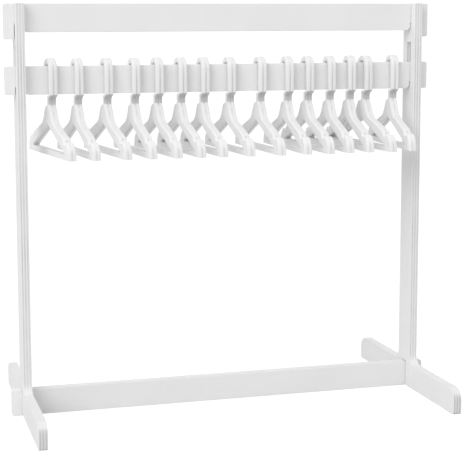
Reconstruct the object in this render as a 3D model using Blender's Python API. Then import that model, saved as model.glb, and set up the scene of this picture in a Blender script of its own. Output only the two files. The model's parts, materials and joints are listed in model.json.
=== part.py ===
"""Doll clothes rack: two side frames, three slotted rails and fifteen swinging hangers.

World frame: +X along the rails, -Y to the front, +Z up, feet on z = 0. Built in metres.
"""

import math

import bmesh
import bpy
from mathutils import Matrix, Vector
from mathutils.geometry import tessellate_polygon

MM = 0.001

# Side frames, 6 mm plywood
BOARD = 6.0  # thickness of every frame panel and rail
HALF_WIDTH = 145.0  # centre to a side frame's outer face
HEIGHT = 280.0
POST_DEPTH = 18.5
FOOT_REACH = 80.0  # centre to either end of a foot
FOOT_HEIGHT = 17.5
FOOT_ROUND = 8.0  # rounded upper ends of the feet
TOE_ROUND = 1.6
FOOT_FILLET = 7.0  # where the post runs into the foot
FIT_GAP = 0.3  # clearance all round where a rail sits in its slot

# Rails
RAIL_HEIGHT = 19.0
TAB = 7.0  # how far a rail's end stands out past the side frame
TOP_HOOK_DROP = 4.5  # the top rail's tabs hang this much below the rail
HANG_TOP = 238.5  # upper edge of the hanging rail
BASE_HEIGHT = 18.0
SEAT = 5.0  # depth of the notch that sits a rail on its side frames
LIFT_ROOM = 14.0  # free slot above the hanging rail, to lift it off its seat
SHOULDER_ROUND = 3.0  # rounded lower corners beside the side frames
CORNER_ROUND = 1.2

# Hangers, 5.4 mm plywood
HANGER_BOARD = 5.4
HOOK_INNER = 4.7  # radius inside the hook
STRIP = 3.3  # width of the hook and stem
SHOULDER_Z = -23.2  # neck meets shoulders, below the hook's centre
HANGER_BOTTOM = -57.0
HANGER_HALF = 50.0
BODY_SHIFT = -0.4  # keeps the centre of mass under the hook's centre
STEM_END = -16.0  # front of the stem, where its underside slopes back to the neck
NECK_TOP = -17.0
NECK_FRONT = 3.5
NECK_BACK = 0.1
TIP_TURN = -150.0  # angle where the hook's tip ends, from the stem side
CLEARANCE = 0.3

# Each hanger's place along the rail (mm) and its turn about the vertical (degrees)
HANGERS = [
    (-121.3, 6.8), (-103.3, 4.3), (-83.2, 5.0), (-64.0, 2.0), (-47.8, 3.1),
    (-31.3, 2.4), (-15.1, 1.0), (3.8, 0.9), (26.2, -0.2), (46.4, -2.4),
    (61.4, -0.7), (78.0, -3.6), (93.3, -4.7), (105.2, 1.0), (126.2, -7.0),
]


def arc(cx, cy, radius, start, end, steps):
    """Points of an arc about (cx, cy), angles in degrees."""
    turn = [start + (end - start) * i / steps for i in range(steps + 1)]
    return [
        (cx + radius * math.cos(math.radians(a)), cy + radius * math.sin(math.radians(a)))
        for a in turn
    ]


def slab(name, loops, thickness, place, material):
    """A flat panel cut to loops (outline, then holes), thickness centred on its plane.

    place takes panel coordinates (u, v, w), with w across the thickness, to the world.
    """
    mesh = bpy.data.meshes.new(name)
    bm = bmesh.new()
    flat = [[Vector((u, v, 0.0)) for u, v in loop] for loop in loops]
    count = sum(len(loop) for loop in loops)
    layers = []
    for side in (-0.5, 0.5):
        layers.append([
            bm.verts.new(place @ Vector((p.x * MM, p.y * MM, side * thickness * MM)))
            for loop in flat for p in loop
        ])
    for tri in tessellate_polygon(flat):
        for layer in layers:
            bm.faces.new([layer[i] for i in tri])
    first = 0
    for loop in flat:
        for i in range(len(loop)):
            a, b = first + i, first + (i + 1) % len(loop)
            bm.faces.new([layers[0][a], layers[0][b], layers[1][b], layers[1][a]])
        first += len(loop)
    assert first == count
    bmesh.ops.recalc_face_normals(bm, faces=bm.faces)
    bm.to_mesh(mesh)
    bm.free()
    obj = bpy.data.objects.new(name, mesh)
    mesh.materials.append(material)
    bpy.context.scene.collection.objects.link(obj)
    return obj


def paint(name, colour):
    mat = bpy.data.materials.new(name)
    mat.use_nodes = True
    shader = mat.node_tree.nodes["Principled BSDF"]
    shader.inputs["Base Color"].default_value = colour
    shader.inputs["Roughness"].default_value = 0.45
    return mat


def side_outline():
    """Inverted T of post and foot, (y, z) points, with the top rail's slot open at the top."""
    post = POST_DEPTH / 2
    slot = BOARD / 2 + FIT_GAP
    seat_z = HEIGHT - RAIL_HEIGHT + SEAT - FIT_GAP
    foot_slot = BASE_HEIGHT + FIT_GAP
    pts = [(-slot, 0.0), (-FOOT_REACH + TOE_ROUND, 0.0)]
    pts += arc(-FOOT_REACH + TOE_ROUND, TOE_ROUND, TOE_ROUND, -90, -180, 3)[1:]
    pts += arc(-FOOT_REACH + FOOT_ROUND, FOOT_HEIGHT - FOOT_ROUND, FOOT_ROUND, 180, 90, 7)
    pts += arc(-post - FOOT_FILLET, FOOT_HEIGHT + FOOT_FILLET, FOOT_FILLET, -90, 0, 6)
    pts += [(-post, HEIGHT), (-slot, HEIGHT), (-slot, seat_z), (slot, seat_z)]
    pts += [(slot, HEIGHT), (post, HEIGHT)]
    pts += arc(post + FOOT_FILLET, FOOT_HEIGHT + FOOT_FILLET, FOOT_FILLET, 180, 270, 6)
    pts += arc(FOOT_REACH - FOOT_ROUND, FOOT_HEIGHT - FOOT_ROUND, FOOT_ROUND, 90, 0, 7)
    pts += arc(FOOT_REACH - TOE_ROUND, TOE_ROUND, TOE_ROUND, 0, -90, 3)
    pts += [(slot, 0.0), (slot, foot_slot), (-slot, foot_slot)]
    return pts


def side_slot():
    """The closed slot of the hanging rail, tall enough to lift the rail off its seat."""
    slot = BOARD / 2 + FIT_GAP
    low = HANG_TOP - RAIL_HEIGHT + SEAT - FIT_GAP
    high = HANG_TOP + LIFT_ROOM
    return [(-slot, low), (slot, low), (slot, high), (-slot, high)]


def rail_outline(bottom, top, seat, drop):
    """A rail's (x, z) outline: seat is the notch depth over a side frame, drop its tabs' hooks."""
    inner = HALF_WIDTH - BOARD - FIT_GAP
    outer = HALF_WIDTH + FIT_GAP
    end = HALF_WIDTH + TAB
    c = CORNER_ROUND
    half = arc(end - c, top - c, c, 90, 0, 3)
    half += arc(end - c, bottom - drop + c, c, 0, -90, 3)
    if seat:
        r = SHOULDER_ROUND
        half += [(outer, bottom - drop), (outer, bottom + seat), (inner, bottom + seat)]
        half += arc(inner - r, bottom + r, r, 0, -90, 4)
    return half + [(-x, z) for x, z in reversed(half)]


def body(across, down):
    """Half-outline coordinates to millimetres: across in half widths, down in body heights."""
    return (
        BODY_SHIFT + across * HANGER_HALF,
        SHOULDER_Z + down * (HANGER_BOTTOM - SHOULDER_Z),
    )


# One shoulder of the hanger from neck to tip: (fraction of half width, fraction of height)
SHOULDER = [
    (0.090, 0.038), (0.131, 0.115), (0.165, 0.204), (0.206, 0.292), (0.261, 0.363),
    (0.378, 0.425), (0.545, 0.508), (0.708, 0.590), (0.745, 0.617), (0.762, 0.668),
    (0.782, 0.706), (0.808, 0.712), (0.835, 0.698), (0.862, 0.664),
    (0.905, 0.694), (0.945, 0.750), (0.971, 0.805), (0.990, 0.890), (1.0, 1.0),
]
# Triangular opening: right half from the apex down
OPENING = [(0.0, 0.375), (0.055, 0.415), (0.800, 0.868), (0.806, 0.884), (0.796, 0.893)]


def hanger_loops():
    """Outline and opening of a hanger, (u, v) about the hook's centre, +u to the front."""
    r_in, r_out = HOOK_INNER, HOOK_INNER + STRIP
    pts = [(r_out, 0.0), (r_out, STEM_END)]
    pts += [(r_out - 0.2, STEM_END - 0.5), (r_out - 0.8, STEM_END - 1.0)]
    pts += [(r_out - 2.4, STEM_END - 1.9), (r_out - 3.8, STEM_END - 2.6)]
    pts += [(NECK_FRONT, STEM_END - 3.6), (NECK_FRONT, SHOULDER_Z)]
    pts += [body(u, v) for u, v in SHOULDER]
    pts += [body(-u, v) for u, v in reversed(SHOULDER)]
    pts += [(NECK_BACK, SHOULDER_Z), (NECK_BACK, NECK_TOP - 0.8)]
    pts += [(NECK_BACK + 0.8, NECK_TOP)]
    pts += [(r_in, NECK_TOP), (r_in, 0.0)]
    turn = -TIP_TURN + 45.0
    pts += arc(0.0, 0.0, r_in, 0, turn, 14)[1:]
    end = math.radians(turn)
    mid = (r_in + r_out) / 2
    pts += arc(mid * math.cos(end), mid * math.sin(end), STRIP / 2, turn + 180, turn + 360, 6)[1:-1]
    pts += arc(0.0, 0.0, r_out, turn, 0, 16)[:-1]
    hole = [body(u, v) for u, v in OPENING]
    hole += [body(-u, v) for u, v in reversed(OPENING[1:])]
    return [pts, hole]


def hook_height(turn):
    """Height of the hook's centre, so that the hook rests just clear of the rail's top corners."""
    reach = BOARD / 2 / math.cos(turn) + HANGER_BOARD / 2 * math.tan(abs(turn))
    return HANG_TOP - math.sqrt((HOOK_INNER - CLEARANCE) ** 2 - reach ** 2)


def main():
    for obj in list(bpy.data.objects):
        bpy.data.objects.remove(obj)
    frame_white = paint("frame_white", (0.86, 0.86, 0.85, 1.0))
    rail_white = paint("rail_white", (0.88, 0.88, 0.87, 1.0))
    hanger_white = paint("hanger_white", (0.92, 0.92, 0.91, 1.0))

    # Panels in the Y-Z plane, thickness along X
    upright = Matrix(((0, 0, 1, 0), (1, 0, 0, 0), (0, 1, 0, 0), (0, 0, 0, 1)))
    for name, side in (("left_side_frame", -1), ("right_side_frame", 1)):
        shift = Matrix.Translation((side * (HALF_WIDTH - BOARD / 2) * MM, 0, 0))
        slab(name, [side_outline(), side_slot()], BOARD, shift @ upright, frame_white)

    # Panels in the X-Z plane, thickness along Y
    along = Matrix(((1, 0, 0, 0), (0, 0, -1, 0), (0, 1, 0, 0), (0, 0, 0, 1)))
    rails = (
        ("top_rail", HEIGHT - RAIL_HEIGHT, HEIGHT, SEAT, TOP_HOOK_DROP),
        ("hanging_rail", HANG_TOP - RAIL_HEIGHT, HANG_TOP, SEAT, 0.0),
        ("base_rail", 0.0, BASE_HEIGHT, 0.0, 0.0),
    )
    for name, low, high, seat, drop in rails:
        slab(name, [rail_outline(low, high, seat, drop)], BOARD, along, rail_white)

    loops = hanger_loops()
    for number, (x, degrees) in enumerate(HANGERS, 1):
        turn = math.radians(degrees)
        # Panel axes: u to the front, turned about Z; v up; w across the board
        to_front = Vector((math.sin(turn), -math.cos(turn), 0))
        across = Vector((math.cos(turn), math.sin(turn), 0))
        place = Matrix.Identity(4)
        for row in range(3):
            place[row][0], place[row][1] = to_front[row], (0, 0, 1)[row]
            place[row][2] = across[row]
        pivot = Vector((x, 0, hook_height(turn))) * MM
        # The mesh is built about the hook's centre, which is the swing axis
        hanger = slab(f"hanger_{number:02d}", loops, HANGER_BOARD, place, hanger_white)
        hanger.location = pivot


main()
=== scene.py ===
"""Looks for the doll clothes rack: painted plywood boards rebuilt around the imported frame."""

import json
import math

import bmesh
import bpy
from mathutils import Matrix, Vector
from mathutils.geometry import tessellate_polygon


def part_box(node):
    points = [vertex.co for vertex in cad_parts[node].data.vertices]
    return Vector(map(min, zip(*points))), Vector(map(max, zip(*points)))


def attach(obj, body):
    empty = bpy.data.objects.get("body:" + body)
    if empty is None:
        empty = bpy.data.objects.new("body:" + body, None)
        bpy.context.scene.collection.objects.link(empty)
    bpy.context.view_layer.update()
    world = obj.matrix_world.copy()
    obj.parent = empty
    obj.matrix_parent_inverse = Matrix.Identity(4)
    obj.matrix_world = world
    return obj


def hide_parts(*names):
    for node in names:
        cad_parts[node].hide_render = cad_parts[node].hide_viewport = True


MM = 0.001
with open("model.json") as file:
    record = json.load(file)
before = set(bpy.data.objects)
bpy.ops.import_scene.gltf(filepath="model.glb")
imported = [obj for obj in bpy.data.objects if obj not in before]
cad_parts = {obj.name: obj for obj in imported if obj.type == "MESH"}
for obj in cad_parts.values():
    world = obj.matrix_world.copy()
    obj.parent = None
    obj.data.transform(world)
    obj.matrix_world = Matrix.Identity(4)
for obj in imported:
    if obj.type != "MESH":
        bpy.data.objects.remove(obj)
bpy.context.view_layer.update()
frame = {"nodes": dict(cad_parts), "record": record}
record = frame["record"]

# ---------------------------------------------------------------- camera

CAMERA_AT = Vector((-0.24672, -0.82513, 0.25685))
CAMERA_YAW = 14.13  # degrees to the right of +Y
CAMERA_PITCH = -6.81
CAMERA_ROLL = -0.38
SENSOR = 36.0
FOCAL = 95.9326  # millimetres
SHIFT = (0.1328, -0.0875)  # the framing is off the lens axis


def add_camera():
    yaw, pitch, roll = (math.radians(a) for a in (CAMERA_YAW, CAMERA_PITCH, CAMERA_ROLL))
    ahead = Vector((
        math.sin(yaw) * math.cos(pitch), math.cos(yaw) * math.cos(pitch), math.sin(pitch)
    ))
    right = Vector((math.cos(yaw), -math.sin(yaw), 0.0))
    up = right.cross(ahead)
    tilted_right = right * math.cos(roll) + up * math.sin(roll)
    tilted_up = up * math.cos(roll) - right * math.sin(roll)
    data = bpy.data.cameras.new("camera")
    data.lens = FOCAL
    data.sensor_width = SENSOR
    data.shift_x, data.shift_y = SHIFT
    data.clip_start, data.clip_end = 0.05, 50.0
    camera = bpy.data.objects.new("camera", data)
    bpy.context.scene.collection.objects.link(camera)
    turn = Matrix((tilted_right, tilted_up, -ahead)).transposed()
    camera.matrix_world = Matrix.Translation(CAMERA_AT) @ turn.to_4x4()
    bpy.context.scene.camera = camera


# ---------------------------------------------------------------- materials

# Tones of the bare spots, of the darker foot ends and of the painted shade at the hanger necks,
# as fractions of the paint's own white
DRY_PLY = 0.62
GLUE_LINE_AND_NECK_SHADE = 0.56
FOOT_END_TONE = 0.80
DULL_PAINT = 0.975

# Dark plies as (low, high) distances from a board's middle plane, in mm
FIVE_PLY = [(0.0, 0.42), (1.50, 2.15)]
THREE_PLY = [(0.0, 0.48)]
PLY_BLUR = 0.10  # mm to each side of a ply boundary over which its tone changes
GLUE_SPREAD = (0.05, 0.17)  # mm from a glue line over which its tone fades
NECK_SHADE_BLUR = 0.4  # mm
FOOT_END_BLUR = 6.0  # mm

FRAME_HALF_THICK = 3.0  # mm
HANGER_HALF_THICK = 2.7
FRAME_PAINT = (0.86, 0.86, 0.86)
HANGER_PAINT = (0.87, 0.87, 0.87)
FOOT_END_FROM = 62.0  # mm from the centre, past which a foot's cut end is coloured darker
NECK_SHADE_SPAN = (-23.0, -16.4)  # painted shade on the recessed neck, from and to in mm from the swing axis


def tone(paint, fraction=1.0):
    return tuple(c * fraction for c in paint) + (1.0,)


class Nodes:
    """Short calls for building a node tree."""

    def __init__(self, tree):
        self.tree = tree
        tree.nodes.clear()

    def add(self, kind, inputs=(), **settings):
        node = self.tree.nodes.new(kind)
        for key, value in settings.items():
            setattr(node, key, value)
        for key, value in dict(inputs).items():
            socket = node.inputs[key]
            if isinstance(value, bpy.types.NodeSocket):
                self.tree.links.new(value, socket)
            else:
                socket.default_value = value
        return node

    def math(self, operation, a, b=0.0, c=0.0):
        node = self.add("ShaderNodeMath", {0: a, 1: b, 2: c}, operation=operation)
        return node.outputs[0]

    def step(self, value, low, high, out_low=0.0, out_high=1.0):
        """Smooth ramp of value from low to high."""
        node = self.add(
            "ShaderNodeMapRange",
            {
                "Value": value, "From Min": low, "From Max": high,
                "To Min": out_low, "To Max": out_high,
            },
            interpolation_type="SMOOTHSTEP",
        )
        return node.outputs["Result"]

    def noise(self, vector, scale, detail=3.0, roughness=0.55):
        node = self.add(
            "ShaderNodeTexNoise",
            {"Vector": vector, "Scale": scale, "Detail": detail, "Roughness": roughness},
        )
        return node.outputs[0]

    def stretch(self, vector, scale):
        node = self.add("ShaderNodeMapping", {"Vector": vector, "Scale": scale})
        return node.outputs[0]

    def mix(self, factor, a, b):
        node = self.add("ShaderNodeMix", data_type="RGBA")
        for index, value in ((0, factor), (6, a), (7, b)):
            socket = node.inputs[index]
            if isinstance(value, bpy.types.NodeSocket):
                self.tree.links.new(value, socket)
            else:
                socket.default_value = value
        return node.outputs[2]


def ply_marks(n, height, wander, dark_plies):
    """Masks of the dark plies and of the glue lines between plies."""
    depth = n.math("ABSOLUTE", n.math("MULTIPLY_ADD", height, 1000.0, wander))
    ply, glue = None, None
    for low, high in dark_plies:
        band = n.step(depth, high - PLY_BLUR, high + PLY_BLUR, 1.0, 0.0)
        if low > 0:
            band = n.math("MULTIPLY", n.step(depth, low - PLY_BLUR, low + PLY_BLUR), band)
        ply = band if ply is None else n.math("MAXIMUM", ply, band)
        for edge in (low, high):
            if edge == 0:
                continue
            away = n.math("ABSOLUTE", n.math("SUBTRACT", depth, edge))
            line = n.step(away, *GLUE_SPREAD, 1.0, 0.0)
            glue = line if glue is None else n.math("MAXIMUM", glue, line)
    return ply, glue


def neck_shade_mask(n, up, low, high, fibre):
    """Mask of a stretch of cut edge, low to high in mm, painted darker as the shade under the
    stem's overhang.
    """
    height = n.math("MULTIPLY", up, 1000.0)
    above = n.step(height, low - NECK_SHADE_BLUR, low + NECK_SHADE_BLUR)
    below = n.step(height, high - NECK_SHADE_BLUR, high + NECK_SHADE_BLUR, 1.0, 0.0)
    inside = n.math("MULTIPLY", above, below)
    return n.math("MULTIPLY", inside, n.step(fibre, 0.25, 0.75, 1.0, 0.6))


def painted_plywood(name, paint, grain_axis, dark_plies, dark_ends_from=None, painted_neck_shade=None):
    """White satin paint on plywood.

    Local axes: x and y in the board's plane, z across its thickness. dark_plies are the
    plies whose ends drink the paint. dark_ends_from is the |x| in mm past which a cut end
    is coloured darker, and painted_neck_shade the (low, high) y in mm of a band of painted
    shade on the recessed neck.
    """
    mat = bpy.data.materials.new(name)
    mat.use_nodes = True
    n = Nodes(mat.node_tree)
    place = n.add("ShaderNodeTexCoord")
    here, normal = place.outputs["Object"], place.outputs["Normal"]
    xyz = n.add("ShaderNodeSeparateXYZ", {0: here}).outputs
    facing = n.add("ShaderNodeSeparateXYZ", {0: normal}).outputs

    # Grain runs long along the board and fine across it
    along = (18.0, 260.0, 260.0) if grain_axis == "x" else (260.0, 18.0, 260.0)
    long_grain = n.noise(n.stretch(here, along), 1.0, 4.0, 0.6)
    pores = n.noise(n.stretch(here, tuple(4.5 * a for a in along)), 1.0, 2.0, 0.5)
    mottle = n.noise(here, 22.0, 3.0)
    orange_peel = n.noise(here, 1400.0, 2.0)
    fibre = n.noise(n.stretch(here, (900.0, 900.0, 2600.0)), 1.0, 3.0, 0.65)

    # Painted light: the ply marks fade out on the upward cut edges, standing in for the light
    # from above that washes them out there
    edge = n.step(n.math("ABSOLUTE", facing[2]), 0.45, 0.85, 1.0, 0.0)
    cut = n.math("MULTIPLY", edge, n.step(facing[1], 0.30, 0.65, 1.0, 0.12))

    wander = n.math("MULTIPLY", n.math("SUBTRACT", n.noise(here, 90.0, 2.0), 0.5), 0.34)
    ply, glue = ply_marks(n, xyz[2], wander, dark_plies)
    patch = n.step(n.noise(here, 16.0, 2.0), 0.40, 0.60, 0.45, 1.0)
    blotch = n.math("MULTIPLY", n.step(fibre, 0.30, 0.70, 0.45, 1.0), patch)
    dry = n.math("MULTIPLY", n.math("MULTIPLY", ply, blotch), cut)
    glue_mark = n.math("MULTIPLY", n.math("MULTIPLY", glue, cut), 0.50)

    dull = tone(paint, DULL_PAINT)
    colour = n.mix(n.step(mottle, 0.35, 0.7), tone(paint), dull)
    colour = n.mix(n.step(long_grain, 0.52, 0.80, 0.0, 0.30), colour, dull)
    colour = n.mix(
        n.math("MULTIPLY", n.step(pores, 0.62, 0.78), 0.05), colour, tone(paint, DRY_PLY)
    )
    # The cut ends of the feet, past a set distance from the centre, are coloured darker
    if dark_ends_from is not None:
        reach = n.math("MULTIPLY", n.math("ABSOLUTE", xyz[0]), 1000.0)
        past = n.step(reach, dark_ends_from, dark_ends_from + FOOT_END_BLUR)
        end = n.math("MULTIPLY", n.math("MULTIPLY", past, cut), 0.85)
        colour = n.mix(end, colour, tone(paint, FOOT_END_TONE))
    colour = n.mix(n.math("MULTIPLY", dry, 0.90), colour, tone(paint, DRY_PLY))
    colour = n.mix(glue_mark, colour, tone(paint, GLUE_LINE_AND_NECK_SHADE))
    # Painted shade: the recessed neck under the stem's overhang is drawn darker, as if in the
    # stem's shadow
    if painted_neck_shade is not None:
        neck_shade = n.math("MULTIPLY", neck_shade_mask(n, xyz[1], *painted_neck_shade, fibre), cut)
        colour = n.mix(neck_shade, colour, tone(paint, GLUE_LINE_AND_NECK_SHADE))

    rough = n.math("MULTIPLY_ADD", mottle, 0.10, 0.36)
    rough = n.math("MULTIPLY_ADD", dry, 0.18, rough)
    relief = n.math("MULTIPLY_ADD", pores, 0.35, long_grain)
    relief = n.math("MULTIPLY_ADD", orange_peel, 0.30, relief)
    relief = n.math("MULTIPLY_ADD", n.math("MULTIPLY", fibre, cut), 0.9, relief)
    bump = n.add("ShaderNodeBump", {"Strength": 0.35, "Distance": 0.00012, "Height": relief})
    shader = n.add("ShaderNodeBsdfPrincipled", {
        "Base Color": colour, "Roughness": rough, "Normal": bump.outputs[0],
    })
    shader.inputs["Specular IOR Level"].default_value = 0.42
    out = n.add("ShaderNodeOutputMaterial")
    n.tree.links.new(shader.outputs[0], out.inputs[0])
    return mat


# ---------------------------------------------------------------- boards

# Eased edge of a flat face: (depth below the face, inset) in mm, from the flat outwards
EASED_EDGE = [(0.0, 0.70), (0.0, 0.42), (0.05, 0.20), (0.16, 0.07)]
EASED_DEPTH = 0.34
SUNK = 0.07  # how far a ply's cut end shrinks back from its neighbours, in mm
GROOVE = 0.12  # inset of the glue line between two plies
GROOVE_HALF = 0.11  # half the glue line's width

FLAT_WITHIN = 0.02 * MM
KEPT_CORNER = math.radians(36)  # a sharper turn in an outline stays a corner
STRAIGHT = math.radians(1.5)
LONG_RUN = 5 * MM  # a run longer than this stays a straight edge up to its end
LONG_BESIDE = 3.2  # where it is also more than this many times its neighbour's length
SHARP_EDGE = math.radians(34)


def cut_loops(node, normal):
    """The outline and holes of a board, walked round its flat face on the normal's side."""
    mesh = frame["nodes"][node].data
    points, faces, key_of = {}, [], {}
    for vertex in mesh.vertices:
        key = tuple(round(c * 1e6) for c in vertex.co)
        key_of[vertex.index] = key
        points[key] = vertex.co.copy()
    top = max(p.dot(normal) for p in points.values())
    for face in mesh.polygons:
        keys = [key_of[i] for i in face.vertices]
        if all(points[k].dot(normal) > top - FLAT_WITHIN for k in keys) and face.area > 0:
            faces.append(keys)
    edges = set()
    for keys in faces:
        for a, b in zip(keys, keys[1:] + keys[:1]):
            if a != b:
                edges.add((a, b))
    after = {a: b for a, b in edges if (b, a) not in edges}
    loops = []
    while after:
        start, here = after.popitem()
        loop = [points[start]]
        while here != start:
            loop.append(points[here])
            here = after.pop(here)
        loops.append(loop)
    return sorted(loops, key=len, reverse=True)


def rounded(loop, parts):
    """Closed 2-D loop with gently turning stretches made into curves and corners kept."""
    count = len(loop)
    runs = [loop[(i + 1) % count] - loop[i] for i in range(count)]
    ways = [r.normalized() for r in runs]
    leave, arrive = [None] * count, [None] * count
    for i in range(count):
        before, here = ways[i - 1], ways[i]
        gap_in, gap_out = runs[i - 1].length, runs[i].length
        if before.angle(here) > KEPT_CORNER:
            arrive[i], leave[i] = before, here
        elif gap_in > max(LONG_BESIDE * gap_out, LONG_RUN):
            arrive[i] = leave[i] = before
        elif gap_out > max(LONG_BESIDE * gap_in, LONG_RUN):
            arrive[i] = leave[i] = here
        else:
            way = (before / gap_in + here / gap_out).normalized()
            arrive[i] = leave[i] = way
    result = []
    for i in range(count):
        j = (i + 1) % count
        a, b, length = loop[i], loop[j], runs[i].length
        result.append(a.copy())
        bend = leave[i].angle(ways[i]) + arrive[j].angle(ways[i])
        if bend < STRAIGHT:
            continue
        for k in range(1, parts):
            t = k / parts
            result.append(
                a * (2 * t**3 - 3 * t**2 + 1) + leave[i] * length * (t**3 - 2 * t**2 + t)
                + b * (3 * t**2 - 2 * t**3) + arrive[j] * length * (t**3 - t**2)
            )
    return result


def inset(loop, amount):
    """The loop moved by amount towards the material, which lies on its left."""
    moved = []
    count = len(loop)
    for i in range(count):
        before = (loop[i] - loop[i - 1]).normalized()
        after = (loop[(i + 1) % count] - loop[i]).normalized()
        side = Vector((-before.y - after.y, before.x + after.x))
        if side.length < 1e-6:
            side = Vector((-before.y, before.x))
        side.normalize()
        reach = side.dot(Vector((-before.y, before.x)))
        moved.append(loop[i] + side * amount / max(reach, 0.5))
    return moved


def profile(half, boundaries, outermost):
    """(height, inset) pairs in mm across a board, half to each side of its middle plane.

    boundaries are the ply boundaries, as (distance from the middle plane in mm, whether
    the ply inside it is the sunk one). outermost is the inset of the outermost ply.
    """
    upper = [(half - depth, inwards) for depth, inwards in EASED_EDGE]
    upper.append((half - EASED_DEPTH, outermost))
    for edge, sunk_inside in boundaries:
        outer_in, inner_in = (0.0, SUNK) if sunk_inside else (SUNK, 0.0)
        upper.append((edge + GROOVE_HALF, outer_in))
        upper.append((edge, GROOVE))
        upper.append((edge - GROOVE_HALF, inner_in))
    lower = [(-height, inwards) for height, inwards in upper]
    return lower + upper[::-1]


def board(name, node, body, place, mat, levels, parts):
    """Rebuilds a CAD board with eased faces, ply relief on its cut edges and smooth curves.

    place takes the board's own axes (x and y in its plane, z across) to the world.
    """
    back = place.inverted()
    normal = (place.to_3x3() @ Vector((0, 0, 1))).normalized()
    loops = []
    for loop in cut_loops(node, normal):
        flat = [(back @ p).to_2d() for p in loop]
        loops.append(rounded(flat, parts))
    bm = bmesh.new()
    rings = []
    for height, amount in levels:
        ring = []
        for loop in loops:
            ring.append([
                bm.verts.new((p.x, p.y, height * MM)) for p in inset(loop, amount * MM)
            ])
        rings.append(ring)
    for lower, upper in zip(rings, rings[1:]):
        for low_loop, high_loop in zip(lower, upper):
            for i in range(len(low_loop)):
                j = (i + 1) % len(low_loop)
                bm.faces.new([low_loop[i], low_loop[j], high_loop[j], high_loop[i]])
    for ring, flip in ((rings[0], True), (rings[-1], False)):
        flat = [[Vector((v.co.x, v.co.y, 0.0)) for v in loop] for loop in ring]
        verts = [v for loop in ring for v in loop]
        for tri in tessellate_polygon(flat):
            corners = [verts[i] for i in tri]
            area = (corners[1].co - corners[0].co).cross(corners[2].co - corners[0].co)
            if (area.z > 0) == flip:
                corners.reverse()
            if area.length > 1e-12:
                bm.faces.new(corners)
    bmesh.ops.recalc_face_normals(bm, faces=bm.faces)
    for edge in bm.edges:
        if len(edge.link_faces) == 2 and edge.calc_face_angle(0) > SHARP_EDGE:
            edge.smooth = False
    for face in bm.faces:
        face.smooth = True
    mesh = bpy.data.meshes.new(name)
    bm.to_mesh(mesh)
    bm.free()
    mesh.materials.append(mat)
    obj = bpy.data.objects.new(name, mesh)
    bpy.context.scene.collection.objects.link(obj)
    obj.matrix_world = place
    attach(obj, body)
    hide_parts(node)
    return obj


def axes(x, y, z, origin):
    """Matrix whose columns are the board's own axes."""
    m = Matrix.Identity(4)
    for row in range(3):
        m[row][0], m[row][1], m[row][2], m[row][3] = x[row], y[row], z[row], origin[row]
    return m


def middle(node):
    low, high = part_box(node)
    return (Vector(low) + Vector(high)) / 2


def add_boards():
    frame_mat = painted_plywood(
        "painted_side_board", FRAME_PAINT, "y", FIVE_PLY, dark_ends_from=FOOT_END_FROM
    )
    rail_mat = painted_plywood("painted_rail_board", FRAME_PAINT, "x", FIVE_PLY)
    hanger_mat = painted_plywood(
        "painted_hanger_board", HANGER_PAINT, "x", THREE_PLY, painted_neck_shade=NECK_SHADE_SPAN
    )
    right, back, up = Vector((1, 0, 0)), Vector((0, 1, 0)), Vector((0, 0, 1))
    (_, inner_end), (outer_start, _) = FIVE_PLY
    five = profile(FRAME_HALF_THICK, [(outer_start, False), (inner_end, True)], SUNK)
    for node in ("left_side_frame", "right_side_frame"):
        place = axes(back, up, right, (middle(node).x, 0, 0))
        board("painted_" + node, node, "rack", place, frame_mat, five, 2)
    for node in ("top_rail", "hanging_rail", "base_rail"):
        place = axes(right, up, -back, (0, middle(node).y, 0))
        board("painted_" + node, node, "rack", place, rail_mat, five, 2)
    three = profile(HANGER_HALF_THICK, [(THREE_PLY[0][1], True)], 0.0)
    for joint in record["behaviour"]["joints"]:
        node = joint["child"]
        across = Vector(joint["axis"]).normalized()
        place = axes(across.cross(up), up, -across, joint["pos_m"])
        board("painted_" + node, node, node, place, hanger_mat, three, 3)


# ---------------------------------------------------------------- stage

FILL_LOW = 0.49  # sky light from the horizon down
FILL_HIGH = 0.95  # and from overhead
FILL_RISE = (-0.2, 0.9)  # height of the view direction over which it changes
FLOOR_GREY = 0.70
BACKDROP = 1.08  # the camera sees a plain white sweep
KEY_AT = (-2.9, -2.3, 2.2)
KEY_AIM = (0, 0, 0.15)
KEY_SIZE = 3.2
KEY_POWER = 68.0


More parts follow.
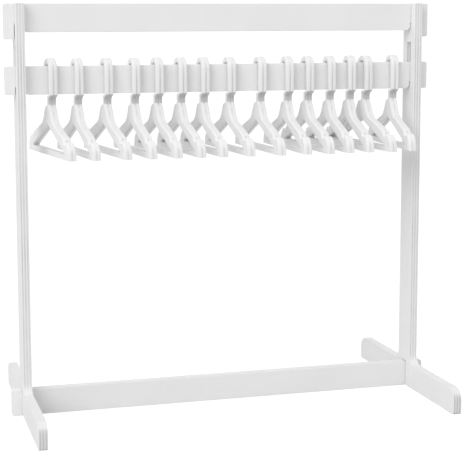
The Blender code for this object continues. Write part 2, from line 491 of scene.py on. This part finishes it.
def add_world():
    world = bpy.data.worlds.new("studio")
    bpy.context.scene.world = world
    world.use_nodes = True
    n = Nodes(world.node_tree)
    path = n.add("ShaderNodeLightPath")
    seen = n.add("ShaderNodeBackground", {"Color": (1, 1, 1, 1), "Strength": BACKDROP})
    way = n.add("ShaderNodeTexCoord").outputs["Generated"]
    height = n.add("ShaderNodeSeparateXYZ", {0: way}).outputs[2]
    power = n.step(height, *FILL_RISE, FILL_LOW, FILL_HIGH)
    fill = n.add("ShaderNodeBackground", {"Color": (1, 1, 1, 1), "Strength": power})
    mix = n.add("ShaderNodeMixShader", {
        0: path.outputs["Is Camera Ray"], 1: fill.outputs[0], 2: seen.outputs[0],
    })
    n.add("ShaderNodeOutputWorld", {0: mix.outputs[0]})


def add_floor():
    mesh = bpy.data.meshes.new("floor")
    mesh.from_pydata([(-9, -9, 0), (9, -9, 0), (9, 9, 0), (-9, 9, 0)], [], [(0, 1, 2, 3)])
    floor = bpy.data.objects.new("floor", mesh)
    bpy.context.scene.collection.objects.link(floor)
    mat = bpy.data.materials.new("white_floor")
    mat.use_nodes = True
    n = Nodes(mat.node_tree)
    path = n.add("ShaderNodeLightPath")
    paper = n.add("ShaderNodeBsdfDiffuse", {"Color": (FLOOR_GREY, FLOOR_GREY, FLOOR_GREY, 1)})
    glow = n.add("ShaderNodeEmission", {"Color": (1, 1, 1, 1), "Strength": BACKDROP})
    mix = n.add("ShaderNodeMixShader", {
        0: path.outputs["Is Camera Ray"], 1: paper.outputs[0], 2: glow.outputs[0],
    })
    n.add("ShaderNodeOutputMaterial", {0: mix.outputs[0]})
    mesh.materials.append(mat)


def add_key_light():
    light = bpy.data.lights.new("key", "AREA")
    light.shape = "DISK"
    light.size = KEY_SIZE
    light.energy = KEY_POWER
    obj = bpy.data.objects.new("key", light)
    bpy.context.scene.collection.objects.link(obj)
    obj.location = KEY_AT
    aim = Vector(KEY_AIM) - Vector(KEY_AT)
    obj.rotation_euler = aim.to_track_quat("-Z", "Y").to_euler()


bpy.context.scene.view_settings.view_transform = "Standard"
add_camera()
add_boards()
add_world()
add_floor()
add_key_light()
